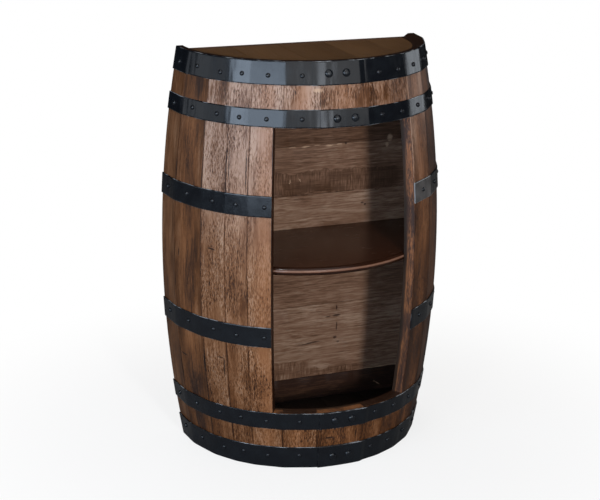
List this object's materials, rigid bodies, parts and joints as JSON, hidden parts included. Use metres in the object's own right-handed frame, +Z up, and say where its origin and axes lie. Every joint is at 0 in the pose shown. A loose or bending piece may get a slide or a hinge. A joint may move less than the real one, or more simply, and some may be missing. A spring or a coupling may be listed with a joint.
{
  "type": "barrel shelf",
  "caption": "Half of a wooden barrel stood on end, with steel hoops, a plank back and a round-fronted shelf behind an opening sawn in its front.",
  "frame": {"origin": "on the floor under the middle of the whole object, side to side and front to back; the barrel's own axis is 144 mm behind it", "axes": "+Z up, front towards -Y, +X to the right seen from the front"},
  "size_m": [0.6369, 0.3228, 0.9],
  "materials": {
    "stave_oak": "stained and waxed oak, open grain, worn outside of a barrel",
    "top_oak": "dark stained oak, satin",
    "floor_oak": "dark stained oak, matt",
    "back_wood": "planed reclaimed boards with saw marks, stained mid brown",
    "shelf_wood": "dark brown stain under satin varnish",
    "cleat_wood": "plain batten, dark stain",
    "hoop_steel": "steel strip painted black, satin, rubbed in places",
    "screw_zinc": "zinc plated"
  },
  "bodies": {
    "root": {"left_stave_1": "stave_oak", "left_stave_2": "stave_oak", "left_stave_3": "stave_oak", "left_stave_4": "stave_oak", "left_stave_5": "stave_oak", "right_stave_1": "stave_oak", "right_stave_2": "stave_oak", "right_stave_3": "stave_oak", "right_stave_4": "stave_oak", "header_stave_1": "stave_oak", "header_stave_2": "stave_oak", "header_stave_3": "stave_oak", "header_stave_4": "stave_oak", "sill_stave_1": "stave_oak", "sill_stave_2": "stave_oak", "sill_stave_3": "stave_oak", "sill_stave_4": "stave_oak", "top_head_hoop_left": "hoop_steel", "top_head_hoop_right": "hoop_steel", "top_quarter_hoop_left": "hoop_steel", "top_quarter_hoop_right": "hoop_steel", "top_bilge_hoop_left": "hoop_steel", "top_bilge_hoop_right": "hoop_steel", "bottom_head_hoop_left": "hoop_steel", "bottom_head_hoop_right": "hoop_steel", "bottom_quarter_hoop_left": "hoop_steel", "bottom_quarter_hoop_right": "hoop_steel", "bottom_bilge_hoop_left": "hoop_steel", "bottom_bilge_hoop_right": "hoop_steel", "hoop_nails": "hoop_steel", "lap_rivets": "hoop_steel", "top_board_1": "top_oak", "top_board_2": "top_oak", "top_board_3": "top_oak", "top_board_4": "top_oak", "top_board_5": "top_oak", "floor_board_1": "floor_oak", "floor_board_2": "floor_oak", "floor_board_3": "floor_oak", "floor_board_4": "floor_oak", "floor_board_5": "floor_oak", "back_board_1": "back_wood", "back_board_2": "back_wood", "back_board_3": "back_wood", "back_board_4": "back_wood", "back_board_5": "back_wood", "back_board_6": "back_wood", "back_board_7": "back_wood", "shelf": "shelf_wood", "back_cleat": "cleat_wood", "left_cleat": "cleat_wood", "right_cleat": "cleat_wood", "back_screws": "screw_zinc", "head_screws": "screw_zinc", "cleat_screws": "screw_zinc", "shelf_screws": "screw_zinc"}
  },
  "joints": []
}
